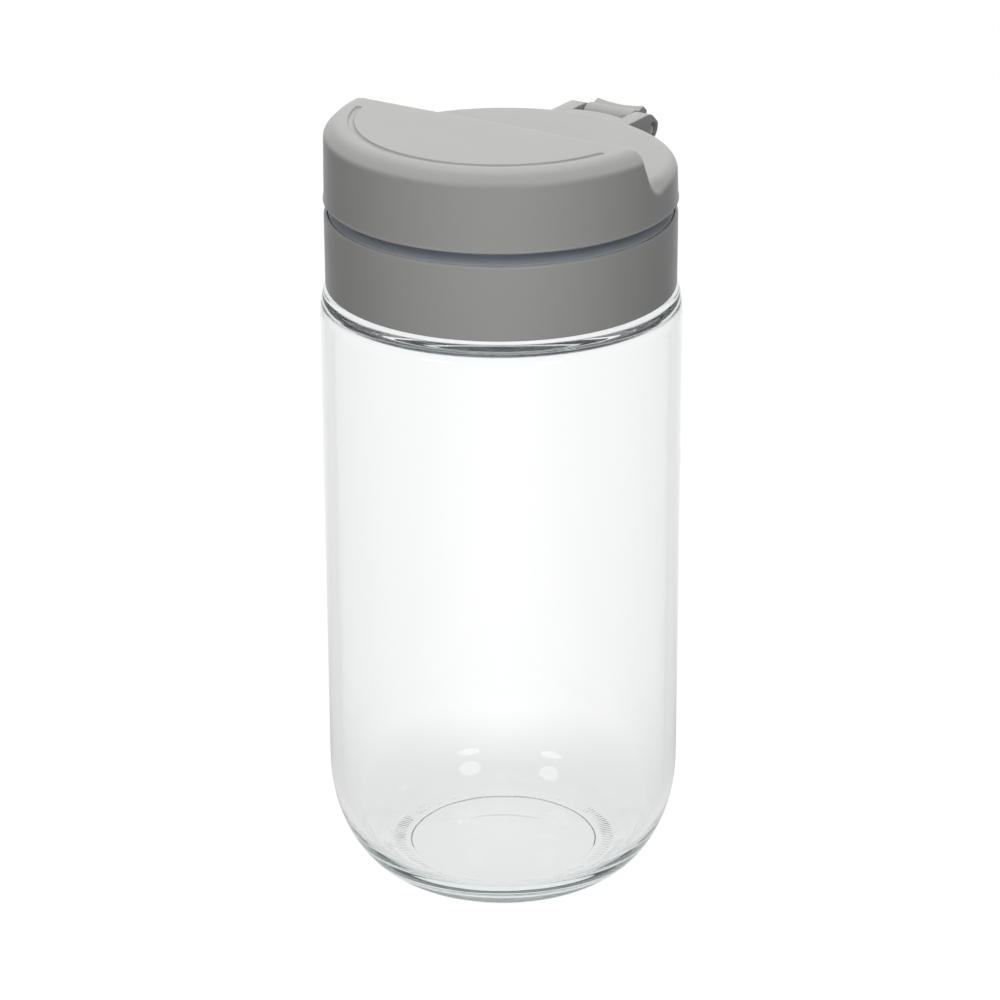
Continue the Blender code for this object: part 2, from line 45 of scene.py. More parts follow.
# Glass jar
GLASS_RADIUS = 45.0 * MM
GLASS_WALL = 3.2 * MM
SHOULDER_Z = 159.3 * MM
INNER_SHOULDER_Z = 156.1 * MM
NECK_RADIUS = 37.5 * MM
NECK_BORE = 34.3 * MM
NECK_MIDDLE = 35.9 * MM
RIM_Z = 174.9 * MM
NECK_ROUND = 1.2 * MM
INNER_SHOULDER_ROUND = 4.5 * MM
INNER_NECK_ROUND = 2.5 * MM
SHOULDER_EDGE = 43.85 * MM
SHOULDER_ROUND = 2.2 * MM
TAPER_Z = 154.3 * MM
TAPER_ROUND = 22.0 * MM
BASE_RADIUS = 25.2 * MM
BASE_CURVE_HEIGHT = 29.8 * MM
BEARING_INSET = 0.2 * MM
BEARING_WIDTH = 0.5 * MM
BEARING_ROUND = 0.2 * MM
PUNT_EDGE_INSET = 0.9 * MM
PUNT_EDGE_HEIGHT = 0.25 * MM
PUNT_EDGE_ROUND = 0.4 * MM
PUNT_FLAT_RADIUS = 8.0 * MM
PUNT_ROUND = 6.0 * MM
PUNT_HEIGHT = 0.9 * MM
FLOOR_THICKNESS = 6.5 * MM
FLOOR_CURVE_WIDTH = 13.0 * MM
FLOOR_CURVE_HEIGHT = 22.0 * MM
KNURL_COUNT = 160
KNURL_RADIUS = 27.9 * MM
KNURL_FULL = 1.2 * MM
KNURL_END = 2.2 * MM
KNURL_TOP = 3.0 * MM
KNURL_DEPTH = 0.06 * MM

# Two-start thread, 10 mm of climb per turn
THREAD_LEAD = 10.0 * MM
THREAD_STARTS = 2
THREAD_HEIGHT = 1.3 * MM
THREAD_HALF_WIDTH = 1.5 * MM
THREAD_RUN_OUT = 1.2 * MM
THREAD_FLANK = 0.6
WALL_TOLERANCE = 0.05 * MM
NECK_THREAD = (163.4 * MM, 170.6 * MM)
LINER_THREAD = (163.2 * MM, 174.6 * MM)

# Collar
COLLAR_RADIUS = 43.5 * MM
COLLAR_BOTTOM = 159.7 * MM
COLLAR_TOP = 178.6 * MM
COLLAR_EDGE = 42.7 * MM
COLLAR_INNER = 41.5 * MM
COLLAR_SEAT = 176.8 * MM
COLLAR_FOOT_ROUND = 0.4 * MM
COLLAR_RIM_ROUND = 0.8 * MM
SMALL_ROUND = 0.2 * MM
TINY_ROUND = 0.15 * MM
LINER_RISE = 1.7 * MM
LINER_EDGE_ROUND = 0.3 * MM
LINER_RADIUS = 41.2 * MM
LINER_BORE = 39.5 * MM
LINER_FLANGE = 42.4 * MM
LINER_TOP_UNDERSIDE = 177.1 * MM
MOUTH_RADIUS = 33.0 * MM
MOUTH_OUTER = 34.5 * MM
MOUTH_Z = 182.6 * MM
MOUTH_ROOT_ROUND = 0.8 * MM
MOUTH_LIP_ROUND = 0.7 * MM

# Flip cover
COVER_RADIUS = 43.45 * MM
COVER_INNER = 41.6 * MM
COVER_UPPER_INNER = 40.8 * MM
LIP_Z = 181.6 * MM
LEDGE_Z = 186.1 * MM
BACK_Z = 191.4 * MM
FRONT_Z = 201.2 * MM
COVER_WALL = 2.0 * MM
COVER_DRAFT = 0.2 * MM
RIM_TOP_ROUND = 4.2 * MM
RIM_SLOPE = 1.6 * MM
RIM_WALL_ROUND = 2.0 * MM
COVER_INNER_ROUND = 4.9 * MM
COVER_BACK_ROUND = 2.5 * MM
COVER_LIP_ROUND = 0.35 * MM
COVER_LIP_BEAD = 0.2 * MM
COVER_TOP_MARGIN = 0.6 * MM
STEP_Y = -2.1 * MM
STEP_HEIGHT = 9.8 * MM
STEP_ANGLE = math.radians(65)
STEP_TOP_ROUND = 3.0 * MM
STEP_LEAST_ROUND = 1.0 * MM
STEP_FOOT_ROUND = 4.0 * MM
GROOVE_RADIUS = 36.4 * MM
GROOVE_WIDTH = 1.7 * MM
GROOVE_DEPTH = 0.65 * MM
GROOVE_HALF_ANGLE = math.radians(73.5)
LEDGE_SLOPE = 0.2 * MM
LIP_ARC = math.radians(22.5)
COVER_LINER_Z = 184.2 * MM
COVER_LINER_TOP = 185.8 * MM
COVER_LINER_EDGE = 41.3 * MM
PLUG_OUTER = 30.0 * MM
PLUG_INNER = 28.5 * MM
PLUG_FLANGE = 30.8 * MM
PLUG_ROOT_ROUND = 0.5 * MM
PLUG_LEDGE = 0.8 * MM
GROOVE_EDGE_ROUND = 0.1 * MM
DISC_MARGIN = 5 * MM
DISC_EDGE_ROUND = 0.3 * MM
SEAL_TOP = 183.0 * MM
SEAL_BOTTOM = 180.8 * MM
SEAL_INNER = 30.3 * MM
SEAL_OUTER = 32.7 * MM
SEAL_GAP = 0.3 * MM
SEAL_LIP_REACH = 0.7 * MM
SEAL_LIP_SET = 0.55 * MM
SEAL_LIP_ROUND = 0.3 * MM

# Hinge
PIN_Y = 53.0 * MM
PIN_Z = 186.1 * MM
PIN_RADIUS = 1.6 * MM
PIN_HALF_LENGTH = 11.35 * MM
PIN_DOME = 1.1 * MM
PIN_DOME_FLATNESS = 0.6
PIN_DOME_STEPS = 6
PIN_SEGMENTS = 48
PIN_FIT = 0.05 * MM
PIN_RUNNING_FIT = 0.1 * MM
PIN_BORE_GAP = 0.5 * MM
PIN_BORE_DEPTH = 2.2 * MM
EAR_TOP = 190.85 * MM
EAR_INNER_X = 7.35 * MM
EAR_OUTER_X = 11.65 * MM
KNUCKLE_Y = 52.1 * MM
KNUCKLE_Z = 187.15 * MM
KNUCKLE_RADIUS = 3.7 * MM
KNUCKLE_HALF_WIDTH = 6.9 * MM
EAR_SLANT_START = 0.2 * MM
EAR_SLANT_ROUND = 4.5 * MM
EAR_END_RISE = 0.6 * MM
EAR_END_ROUND = 1.3 * MM
EAR_TOP_RUN = 3.2 * MM
EAR_TOP_SUNK = 0.7 * MM
EAR_FOOT_RISE = 0.8 * MM
EAR_ROOT_DROP = 0.9 * MM
EAR_BEVEL = 0.25 * MM
BRACKET_BEVEL = 0.35 * MM
BRIDGE_REACH = 3.3 * MM
BRIDGE_BOW = 2.4 * MM
BRIDGE_THICKNESS = 2.2 * MM
BRIDGE_SUNK = 1.5 * MM
BRIDGE_TOP_RUN = 2.5 * MM
BRIDGE_TOP_SUNK = 0.9 * MM
BRIDGE_TOP_ROUND = 0.9 * MM
BRIDGE_UNDER_ROUND = 0.3 * MM
BRIDGE_ROOT_SLOPE = 0.5 * MM
ARM_TOP = 176.8 * MM
ARM_ROOT_HEIGHT = 12.0 * MM
ARM_SUNK = 1.0 * MM
ARM_FRONT_SET = 0.4 * MM
ARM_FRONT_ROUND = 2.5 * MM
ARM_BACK_ROUND = 6.0 * MM
ARM_FOOT_OUT = 0.6 * MM
ARM_FOOT_ROUND = 0.8 * MM
TAB_RISE = 4.9 * MM
TAB_REACH = 5.39 * MM
TAB_THICKNESS = 1.5 * MM
TAB_DIP = 1.0 * MM
TAB_TIP_RUN = 2.0 * MM
TAB_TIP_DROP = 1.7 * MM
TAB_TIP_LEAN = 0.6 * MM
TAB_ROUNDS = (0.5 * MM, 0.6 * MM, 0.4 * MM)

# Fineness of the meshes
SEGMENTS = 192
FINE_ARC = math.radians(7.5)
BOWL_ARC = math.radians(4)
THREAD_MESH = 0.4 * MM
STEP_STATIONS = 26
RIM_STATIONS = 72
ROUND_POINTS = 12
HINGE_STATIONS = 13


# Outlines


def polar(centre, radius, angle):
    return (centre[0] + radius * math.cos(angle), centre[1] + radius * math.sin(angle))


def arc(centre, across, up, start, end, step=FINE_ARC):
    """Points along an ellipse's arc, both ends included."""
    count = max(2, math.ceil(abs(end - start) / step))
    points = []
    for index in range(count + 1):
        angle = start + (end - start) * index / count
        points.append((centre[0] + across * math.cos(angle), centre[1] + up * math.sin(angle)))
    return points


def rounded(corners):
    """An open outline through (across, up, round) corners, each rounded by its own radius."""
    points = [corners[0][:2]]
    for before, corner, after in zip(corners, corners[1:], corners[2:]):
        points += corner_points(before, corner, after)
    points.append(corners[-1][:2])
    return points


def corner_points(before, corner, after):
    point = Vector(corner[:2])
    if corner[2] == 0:
        return [corner[:2]]
    back = (Vector(before[:2]) - point).normalized()
    ahead = (Vector(after[:2]) - point).normalized()
    half = back.angle(ahead) / 2
    room = min((Vector(before[:2]) - point).length, (Vector(after[:2]) - point).length)
    radius = min(corner[2], 0.98 * room * math.tan(half))
    centre = point + (back + ahead).normalized() * radius / math.sin(half)
    first = point + back * radius / math.tan(half) - centre
    last = point + ahead * radius / math.tan(half) - centre
    start = math.atan2(first.y, first.x)
    turn = math.atan2(first.x * last.y - first.y * last.x, first.dot(last))
    return arc(centre, radius, radius, start, start + turn)


def refined(outline, longest):
    """The same outline with no stretch longer than this."""
    points = [outline[0]]
    for start, end in zip(outline, outline[1:]):
        length = math.dist(start, end)
        count = max(1, math.ceil(length / longest))
        for index in range(1, count + 1):
            share = index / count
            points.append((start[0] + (end[0] - start[0]) * share, start[1] + (end[1] - start[1]) * share))
    return points


def smoothstep(value):
    value = min(1.0, max(0.0, value))
    return value * value * (3 - 2 * value)


# Meshes


def spin_outline(outline, segments=SEGMENTS):
    """A closed solid turned round Z from (radius, height) points."""
    bm = bmesh.new()
    verts = [bm.verts.new((radius, 0, height)) for radius, height in outline]
    edges = [bm.edges.new(pair) for pair in zip(verts, verts[1:])]
    if outline[0][0] > 0:
        edges.append(bm.edges.new((verts[-1], verts[0])))
    bmesh.ops.spin(
        bm, geom=verts + edges, cent=(0, 0, 0), axis=(0, 0, 1), angle=math.tau, steps=segments, use_merge=True
    )
    bmesh.ops.remove_doubles(bm, verts=bm.verts, dist=1e-7)
    bmesh.ops.recalc_face_normals(bm, faces=bm.faces)
    return bm


def closed_loop(bm, points):
    verts = [bm.verts.new(point) for point in points]
    return verts, [bm.edges.new(pair) for pair in zip(verts, verts[1:] + verts[:1])]


def loft_along_x(sections):
    """A closed solid through (y, z) outlines at (x, outline) stations."""
    bm = bmesh.new()
    loops = [closed_loop(bm, [(x, y, z) for y, z in outline]) for x, outline in sections]
    for (_, first), (_, second) in zip(loops, loops[1:]):
        bmesh.ops.bridge_loops(bm, edges=first + second)
    bm.faces.new(loops[0][0])
    bm.faces.new(loops[-1][0])
    bmesh.ops.recalc_face_normals(bm, faces=bm.faces)
    return bm


def sections_along_x(half_width, outline_at):
    """Stations from one side to the other, with the outline that belongs to each share of the half width."""
    shares = [2 * index / (HINGE_STATIONS - 1) - 1 for index in range(HINGE_STATIONS)]
    return [(share * half_width, outline_at(share)) for share in shares]


def bevel_ends(bm, width):
    """The solid with the rims of its two x ends rounded."""
    ends = (min(vert.co.x for vert in bm.verts), max(vert.co.x for vert in bm.verts))
    rims = [edge for edge in bm.edges if any(
        all(abs(vert.co.x - end) < 1e-7 for vert in edge.verts) for end in ends
    )]
    bmesh.ops.bevel(
        bm, geom=rims, affect="EDGES", offset=width, segments=3, profile=0.5, material=-1, clamp_overlap=True
    )
    bmesh.ops.recalc_face_normals(bm, faces=bm.faces)
    return bm


def prism_along_x(outline, start, end, bevel):
    """A straight solid with this (y, z) outline, its two ends bevelled."""
    return bevel_ends(loft_along_x([(start, outline), (end, outline)]), bevel)


def cylinder_along_x(y, z, radius, half_length, segments=64):
    circle = [polar((y, z), radius, math.tau * index / segments) for index in range(segments)]
    return loft_along_x([(-half_length, circle), (half_length, circle)])


def temporary_object(bm):
    mesh = bpy.data.meshes.new("temporary")
    bm.to_mesh(mesh)
    bm.free()
    obj = bpy.data.objects.new("temporary", mesh)
    bpy.context.scene.collection.objects.link(obj)
    return obj


def combined(bm, tool, operation):
    """The first mesh after a Boolean by the second one."""
    target = temporary_object(bm)
    cutter = temporary_object(tool)
    modifier = target.modifiers.new("boolean", "BOOLEAN")
    modifier.operation = operation
    modifier.solver = "EXACT"
    modifier.object = cutter
    result = bmesh.new()
    result.from_object(target, bpy.context.evaluated_depsgraph_get())
    for obj in (target, cutter):
        mesh = obj.data
        bpy.data.objects.remove(obj, do_unlink=True)
        bpy.data.meshes.remove(mesh)
    bmesh.ops.dissolve_degenerate(result, edges=result.edges, dist=1e-7)
    return result


def add_piece(name, bm, material, body, node, sharp=35):
    """A smooth-shaded piece that rides on a body and stands for a node of the frame."""
    mesh = bpy.data.meshes.new(name)
    bm.to_mesh(mesh)
    bm.free()
    mesh.materials.append(material)
    mesh.shade_smooth()
    mesh.set_sharp_from_angle(angle=math.radians(sharp))
    obj = bpy.data.objects.new(name, mesh)
    bpy.context.scene.collection.objects.link(obj)
    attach(obj, body)
    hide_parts(node)
    return obj


# Thread


def thread_rise(angle, height, span, shift):
    """How far the thread stands proud at this angle and height, from 0 to 1."""
    pitch = THREAD_LEAD / THREAD_STARTS
    along = (height - span[0]) / pitch - THREAD_STARTS * angle / math.tau + shift
    off_centre = (along - math.floor(along) - 0.5) * pitch
    centre = height - off_centre
    run_in = smoothstep((centre - span[0]) / THREAD_RUN_OUT)
    run_out = smoothstep((span[1] - centre) / THREAD_RUN_OUT)
    flank = (THREAD_HALF_WIDTH - abs(off_centre)) / (THREAD_FLANK * THREAD_HALF_WIDTH)
    return smoothstep(flank) * run_in * run_out


def raise_thread(bm, radius, height, span, shift):
    """Moves the wall's points out, or in for a negative height, where the thread runs."""
    lowest, highest = span[0] - 2 * MM, span[1] + 2 * MM
    for vertex in bm.verts:
        reach = math.hypot(vertex.co.x, vertex.co.y)
        if abs(reach - radius) < WALL_TOLERANCE and lowest < vertex.co.z < highest:
            angle = math.atan2(vertex.co.y, vertex.co.x)
            rise = height * thread_rise(angle, vertex.co.z, span, shift)
            vertex.co.x *= (reach + rise) / reach
            vertex.co.y *= (reach + rise) / reach


# Glass jar


def jar_mesh():
    inner_radius = GLASS_RADIUS - GLASS_WALL
    floor_top = FLOOR_THICKNESS + FLOOR_CURVE_HEIGHT
    floor = arc(
        (inner_radius - FLOOR_CURVE_WIDTH, floor_top),
        FLOOR_CURVE_WIDTH,
        FLOOR_CURVE_HEIGHT,
        -math.pi / 2,
        0,
        BOWL_ARC,
    )
    inside = rounded([
        (inner_radius, floor_top, 0),
        (inner_radius, INNER_SHOULDER_Z, INNER_SHOULDER_ROUND),
        (NECK_BORE, INNER_SHOULDER_Z, INNER_NECK_ROUND),
        (NECK_BORE, RIM_Z, NECK_ROUND),
        (NECK_MIDDLE, RIM_Z, 0),
    ])
    neck = rounded([
        (NECK_MIDDLE, RIM_Z, 0),
        (NECK_RADIUS, RIM_Z, NECK_ROUND),
        (NECK_RADIUS, SHOULDER_Z, NECK_ROUND),
        (SHOULDER_EDGE, SHOULDER_Z, SHOULDER_ROUND),
        (GLASS_RADIUS, TAPER_Z, TAPER_ROUND),
        (GLASS_RADIUS, BASE_CURVE_HEIGHT + 3.2 * MM, 0),
    ])
    heel = arc(
        (BASE_RADIUS, BASE_CURVE_HEIGHT),
        GLASS_RADIUS - BASE_RADIUS,
        BASE_CURVE_HEIGHT,
        0,
        -math.pi / 2,
        BOWL_ARC,
    )
    punt = rounded([
        (BASE_RADIUS - BEARING_INSET, 0, 0),
        (BASE_RADIUS - BEARING_WIDTH, 0, BEARING_ROUND),
        (BASE_RADIUS - PUNT_EDGE_INSET, PUNT_EDGE_HEIGHT, PUNT_EDGE_ROUND),
        (PUNT_FLAT_RADIUS, PUNT_HEIGHT, PUNT_ROUND),
        (1.0 * MM, PUNT_HEIGHT, 0),
    ])
    outside = refined(neck[1:-1], THREAD_MESH)
    outline = [(0, FLOOR_THICKNESS)] + floor + inside[1:] + outside + heel + punt + [(0, PUNT_HEIGHT)]
    bm = spin_outline(outline)
    raise_thread(bm, NECK_RADIUS, THREAD_HEIGHT, NECK_THREAD, 0)
    return bm


# Collar


def collar_ring_mesh():
    return spin_outline(rounded([
        (COLLAR_INNER, COLLAR_SEAT, 0),
        (COLLAR_INNER, COLLAR_BOTTOM, SMALL_ROUND),
        (COLLAR_RADIUS, COLLAR_BOTTOM, COLLAR_FOOT_ROUND),
        (COLLAR_RADIUS, COLLAR_TOP, COLLAR_RIM_ROUND),
        (COLLAR_EDGE, COLLAR_TOP, TINY_ROUND),
        (COLLAR_EDGE, COLLAR_SEAT, 0),
    ]))


def bracket_outline():
    """Side view of the hinge bracket: arm, knuckle round the pin, and the stop tab behind it."""
    root = COLLAR_RADIUS - ARM_SUNK
    centre = (KNUCKLE_Y, KNUCKLE_Z)
    front = KNUCKLE_Y - KNUCKLE_RADIUS
    rise = rounded([
        (root, ARM_TOP, 0),
        (front + ARM_FRONT_SET, ARM_TOP, ARM_FRONT_ROUND),
        (front, KNUCKLE_Z, 0),
    ])
    crown = arc(centre, KNUCKLE_RADIUS, KNUCKLE_RADIUS, math.pi * 0.94, math.pi * 0.42)
    tip_y, tip_z = PIN_Y + TAB_REACH, PIN_Z + TAB_RISE
    # The tab leaves the knuckle's circle at its upper back, and the arm's back meets it low down
    tab = rounded([
        (KNUCKLE_Y + 0.55 * KNUCKLE_RADIUS, KNUCKLE_Z + 0.84 * KNUCKLE_RADIUS, 0),
        (tip_y - TAB_TIP_RUN, tip_z, TAB_ROUNDS[0]),
        (tip_y, tip_z - TAB_TIP_DROP, TAB_ROUNDS[1]),
        (tip_y - TAB_TIP_LEAN, tip_z - TAB_TIP_DROP - TAB_THICKNESS, TAB_ROUNDS[2]),
        (KNUCKLE_Y + KNUCKLE_RADIUS, KNUCKLE_Z, 0),
    ])
    back = rounded([
        (KNUCKLE_Y + 0.97 * KNUCKLE_RADIUS, KNUCKLE_Z - 0.25 * KNUCKLE_RADIUS, 0),
        (KNUCKLE_Y + 0.9 * KNUCKLE_RADIUS, ARM_TOP, ARM_BACK_ROUND),
        (COLLAR_RADIUS + ARM_FOOT_OUT, ARM_TOP - ARM_ROOT_HEIGHT, ARM_FOOT_ROUND),
        (root, ARM_TOP - ARM_ROOT_HEIGHT, 0),
    ])
    return rise + crown + tab + back


def dip_tab(outline, dip):
    """The bracket's outline with the tab's tip lowered."""
    dipped = []
    for y, z in outline:
        share = (y - KNUCKLE_Y) / (TAB_REACH + PIN_Y - KNUCKLE_Y)
        if share > 0 and z > KNUCKLE_Z:
            z -= dip * share
        dipped.append((y, z))
    return dipped


def collar_shell_mesh():
    outline = bracket_outline()
    sections = sections_along_x(
        KNUCKLE_HALF_WIDTH, lambda share: dip_tab(outline, TAB_DIP * (1 - share**2))
    )
    bracket = bevel_ends(loft_along_x(sections), BRACKET_BEVEL)
    shell = combined(collar_ring_mesh(), bracket, "UNION")
    hole = cylinder_along_x(PIN_Y, PIN_Z, PIN_RADIUS + PIN_RUNNING_FIT, EAR_OUTER_X)
    return combined(shell, hole, "DIFFERENCE")


def collar_liner_mesh():
    """Threaded skirt, the flat top that closes on the gasket, and the upright wall round the mouth."""
    skirt = rounded([
        (LINER_BORE, COLLAR_BOTTOM + LINER_RISE, LINER_EDGE_ROUND),
        (LINER_RADIUS, COLLAR_BOTTOM + LINER_RISE, LINER_EDGE_ROUND),
        (LINER_RADIUS, LINER_TOP_UNDERSIDE, 0),
        (LINER_FLANGE, LINER_TOP_UNDERSIDE, 0),
        (LINER_FLANGE, COLLAR_TOP, TINY_ROUND),
        (MOUTH_OUTER, COLLAR_TOP, MOUTH_ROOT_ROUND),
        (MOUTH_OUTER, MOUTH_Z, MOUTH_LIP_ROUND),
        (MOUTH_RADIUS, MOUTH_Z, MOUTH_LIP_ROUND),
        (MOUTH_RADIUS, LINER_TOP_UNDERSIDE, 0),
        (LINER_BORE, LINER_TOP_UNDERSIDE, 0),
    ])
    bore = refined(
        [(LINER_BORE, LINER_TOP_UNDERSIDE), (LINER_BORE, COLLAR_BOTTOM + 2.0 * MM)], THREAD_MESH
    )
    bm = spin_outline(skirt[1:-1] + bore)
    raise_thread(bm, LINER_BORE, -THREAD_HEIGHT, LINER_THREAD, 0.5)
    return bm


# Flip cover


def step_point(index, depth):
    """A point (y, z) on the S between raised front and low back, taken at a depth under the surface."""
    half_turn = math.tan(STEP_ANGLE / 2)
    corner = STEP_Y - depth * half_turn
    foot = corner + STEP_HEIGHT / math.tan(STEP_ANGLE)
    top_round = max(STEP_TOP_ROUND - depth, STEP_LEAST_ROUND)
    foot_round = STEP_FOOT_ROUND + depth
    if index < STEP_STATIONS / 2:
        angle = STEP_ANGLE * index / (STEP_STATIONS / 2 - 1)
        y = corner - top_round * (half_turn - math.sin(angle))
        return y, FRONT_Z - depth - top_round * (1 - math.cos(angle))
    angle = STEP_ANGLE * (STEP_STATIONS - 1 - index) / (STEP_STATIONS / 2 - 1)
    y = foot + foot_round * (half_turn - math.sin(angle))
    return y, BACK_Z - depth + foot_round * (1 - math.cos(angle))


def front_profile():
    """The raised half's rim as (distance from the wall, depth): a round, a slope and a tighter round."""
    slant = math.pi / 4
    across = (RIM_TOP_ROUND + RIM_SLOPE) * math.sin(slant) + RIM_WALL_ROUND * (1 - math.cos(slant))
    down = RIM_TOP_ROUND * (1 - math.cos(slant)) + (RIM_SLOPE + RIM_WALL_ROUND) * math.sin(slant)
    half = ROUND_POINTS // 2
    turns = [slant * index / (half - 1) for index in range(half)]
    upper = [
        (across - RIM_TOP_ROUND * math.sin(turn), RIM_TOP_ROUND * (1 - math.cos(turn))) for turn in turns
    ]
    lower = [
        (RIM_WALL_ROUND * (1 - math.sin(slant + turn)), down - RIM_WALL_ROUND * math.cos(slant + turn))
        for turn in turns
    ]
    return upper + lower


def round_profile(full_round, inset):
    """A plain round at a depth under the surface."""
    size = full_round - inset
    turns = [math.pi / 2 * index / (ROUND_POINTS - 1) for index in range(ROUND_POINTS)]
    return [(size * (1 - math.sin(turn)), inset + size * (1 - math.cos(turn))) for turn in turns]


def rim_ring(radius, front_point, back_point):
    """One ring of points on the cover's rim. Each point is (distance from the wall, depth)."""
    reach, depth = radius - front_point[0], front_point[1]
    right = []
    for index in range(STEP_STATIONS):
        y, z = step_point(index, depth)
        right.append((math.sqrt(reach**2 - y**2), y, z))
    left = [(-x, y, z) for x, y, z in reversed(right)]
    back_start = math.asin(right[-1][1] / reach)
    front_start = math.asin(-right[0][1] / reach)
    front = []
    back = []
    for index in range(1, RIM_STATIONS):
        share = index / RIM_STATIONS
        angle = math.pi + front_start + (math.pi - 2 * front_start) * share
        front.append((reach * math.cos(angle), reach * math.sin(angle), FRONT_Z - depth))
    for index in range(1, RIM_STATIONS):
        share = index / RIM_STATIONS
        ease = math.sin(math.pi * share) ** 0.3
        inward, depth = (here + (there - here) * ease for here, there in zip(front_point, back_point))
        reach = radius - inward
        angle = back_start + (math.pi - 2 * back_start) * share
        back.append((reach * math.cos(angle), reach * math.sin(angle), BACK_Z - depth))
    return right + back + left + front


def cover_face(bm, radius, front, back, wall_foot):
    """One side of the cover's skin: its top with the step, a rounded rim and the wall.

    Returns the loop of edges that is left open at the wall's foot."""
    rings = [rim_ring(radius, *((point[0] + COVER_TOP_MARGIN, point[1]) for point in (front[0], back[0])))]
    rings += [rim_ring(radius, *points) for points in zip(front, back)]
    for reach, height in wall_foot:
        rings.append([(x * reach / radius, y * reach / radius, height) for x, y, _ in rings[-1]])
        radius = reach
    loops = [closed_loop(bm, ring) for ring in rings]
    for (_, first), (_, second) in zip(loops, loops[1:]):
        bmesh.ops.bridge_loops(bm, edges=first + second)
    fill_top(bm, loops[0][0])
    return loops[-1][1]


def fill_top(bm, ring):
    """Strips across the step between its stations, and a flat face before and behind it."""
    half = STEP_STATIONS + RIM_STATIONS - 1
    right = ring[:STEP_STATIONS]
    back = ring[STEP_STATIONS:half]
    left = ring[half:half + STEP_STATIONS][::-1]
    front = ring[half + STEP_STATIONS:]
    for index in range(STEP_STATIONS - 1):
        bm.faces.new((right[index], right[index + 1], left[index + 1], left[index]))
    bm.faces.new([right[-1]] + back + [left[-1]])
    bm.faces.new([left[0]] + front + [right[0]])


def cover_skin_mesh():
    bm = bmesh.new()
    lip = COVER_LIP_ROUND
    bead = COVER_RADIUS + COVER_LIP_BEAD
    lip_turn = [(COVER_RADIUS, LIP_Z + 2 * lip)] + arc(
        (bead - lip, LIP_Z + lip), lip, lip, LIP_ARC, -math.pi / 2, LIP_ARC
    )
    outside = cover_face(
        bm, COVER_RADIUS - COVER_DRAFT, front_profile(), round_profile(COVER_BACK_ROUND, 0), lip_turn
    )
    inside = cover_face(
        bm,
        COVER_UPPER_INNER,
        round_profile(COVER_INNER_ROUND, COVER_WALL),
        round_profile(COVER_BACK_ROUND, COVER_WALL),
        [
            (COVER_UPPER_INNER, LEDGE_Z + LEDGE_SLOPE),
            (COVER_INNER, LEDGE_Z),
            (COVER_INNER, LIP_Z + LEDGE_SLOPE),
            (COVER_INNER + LEDGE_SLOPE, LIP_Z + 0.1 * LEDGE_SLOPE),
        ],
    )
    bmesh.ops.bridge_loops(bm, edges=outside + inside)
    bmesh.ops.recalc_face_normals(bm, faces=bm.faces)
    return bm


def groove_section():
    """Radius and height of the round bar that leaves the groove's width and depth in the raised top."""
    radius = ((GROOVE_WIDTH / 2) ** 2 + GROOVE_DEPTH**2) / (2 * GROOVE_DEPTH)
    return radius, FRONT_Z - GROOVE_DEPTH + radius


def groove_tool():
    """A bent round bar, sunk into the raised top."""
    radius, height = groove_section()
    bm = bmesh.new()
    circle = [polar((GROOVE_RADIUS, height), radius, math.tau * index / 24) for index in range(24)]
    turn = Matrix.Rotation(-math.pi / 2 - GROOVE_HALF_ANGLE, 3, "Z")
    verts, edges = closed_loop(bm, [turn @ Vector((across, 0, up)) for across, up in circle])
    bmesh.ops.spin(
        bm, geom=verts + edges, cent=(0, 0, 0), axis=(0, 0, 1), angle=2 * GROOVE_HALF_ANGLE, steps=120
    )
    bmesh.ops.holes_fill(bm, edges=[edge for edge in bm.edges if edge.is_boundary])
    bmesh.ops.recalc_face_normals(bm, faces=bm.faces)
    return bm


def groove_end(side):
    """The ball that rounds one end of the groove."""
    radius, height = groove_section()
    x, y = polar((0, 0), GROOVE_RADIUS, -math.pi / 2 + side * GROOVE_HALF_ANGLE)
    bm = bmesh.new()
    bmesh.ops.create_uvsphere(
        bm, u_segments=24, v_segments=16, radius=radius, matrix=Matrix.Translation((x, y, height))
    )
    return bm


def ear_outline():
    """Side view of an ear: flush with the low back, into the wall, and round the pin."""
    top = EAR_TOP
    wall_mid = COVER_RADIUS - COVER_WALL / 2
    mid_x = (EAR_INNER_X + EAR_OUTER_X) / 2
    root = math.sqrt(wall_mid**2 - mid_x**2)
    slanted = rounded([
        (KNUCKLE_Y - KNUCKLE_RADIUS, top, 0),
        (KNUCKLE_Y + EAR_SLANT_START, top, EAR_SLANT_ROUND),
        (KNUCKLE_Y + KNUCKLE_RADIUS, KNUCKLE_Z + EAR_END_RISE, EAR_END_ROUND),
        (KNUCKLE_Y + KNUCKLE_RADIUS, KNUCKLE_Z, 0),
    ])
    end = arc((KNUCKLE_Y, KNUCKLE_Z), KNUCKLE_RADIUS, KNUCKLE_RADIUS, 0, -math.pi / 2)
    top_root = root - EAR_TOP_RUN
    return [(top_root, top - EAR_TOP_SUNK), (top_root, top)] + slanted[1:-1] + end + [
        (root, LIP_Z + EAR_FOOT_RISE),
        (root, top - COVER_WALL - EAR_ROOT_DROP),
    ]


def bridge_outline(pull_back):
    """Side view of the lip of the low back that reaches out between the ears."""
    edge = COVER_RADIUS + BRIDGE_REACH - pull_back
    under = EAR_TOP - BRIDGE_THICKNESS
    root = COVER_RADIUS - BRIDGE_SUNK
    return rounded([
        (root - BRIDGE_TOP_RUN, EAR_TOP - BRIDGE_TOP_SUNK, 0),
        (root - BRIDGE_TOP_RUN, EAR_TOP, 0),
        (edge, EAR_TOP, BRIDGE_TOP_ROUND),
        (edge, under, BRIDGE_UNDER_ROUND),
        (root, under, 0),
        (root - BRIDGE_ROOT_SLOPE, under + BRIDGE_ROOT_SLOPE, 0),
    ])


